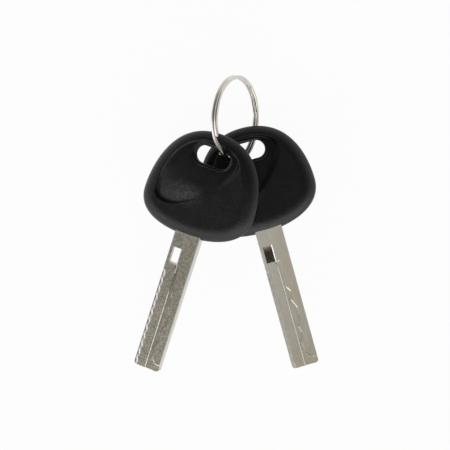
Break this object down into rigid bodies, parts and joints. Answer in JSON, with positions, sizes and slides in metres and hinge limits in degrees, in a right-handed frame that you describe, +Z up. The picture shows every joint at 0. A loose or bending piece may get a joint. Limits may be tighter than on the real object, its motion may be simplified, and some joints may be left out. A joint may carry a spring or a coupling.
{
  "type": "ignition key set",
  "caption": "Ignition keys with black moulded heads and side-milled metal blades, fanned out on a shared split ring.",
  "frame": {"origin": "centre of the whole set on the table that it lies on", "axes": "+Y from the blade tips to the ring, +X to the right of that seen from above, +Z up from the table"},
  "size_m": [0.061, 0.0968, 0.0256],
  "materials": {
    "head_plastic": "fine grain",
    "blade_metal": "satin nickel",
    "ring_steel": "bright"
  },
  "bodies": {
    "ring": {"split_ring": "ring_steel"},
    "front_key": {"front_head": "head_plastic", "front_blade": "blade_metal"},
    "rear_key": {"rear_head": "head_plastic", "rear_blade": "blade_metal"}
  },
  "joints": [
    {"name": "front_key_swing", "type": "hinge", "parent": "ring", "child": "front_key", "pos_m": [-0.00001, 0.02132, 0.01622], "axis": [-0.3334, -0.0619, 0.9407], "range_deg": [-20, 15]},
    {"name": "rear_key_swing", "type": "hinge", "parent": "ring", "child": "rear_key", "pos_m": [0.00582, 0.02255, 0.00619], "axis": [0.017, -0.061, 0.998], "range_deg": [-5, 50]}
  ]
}
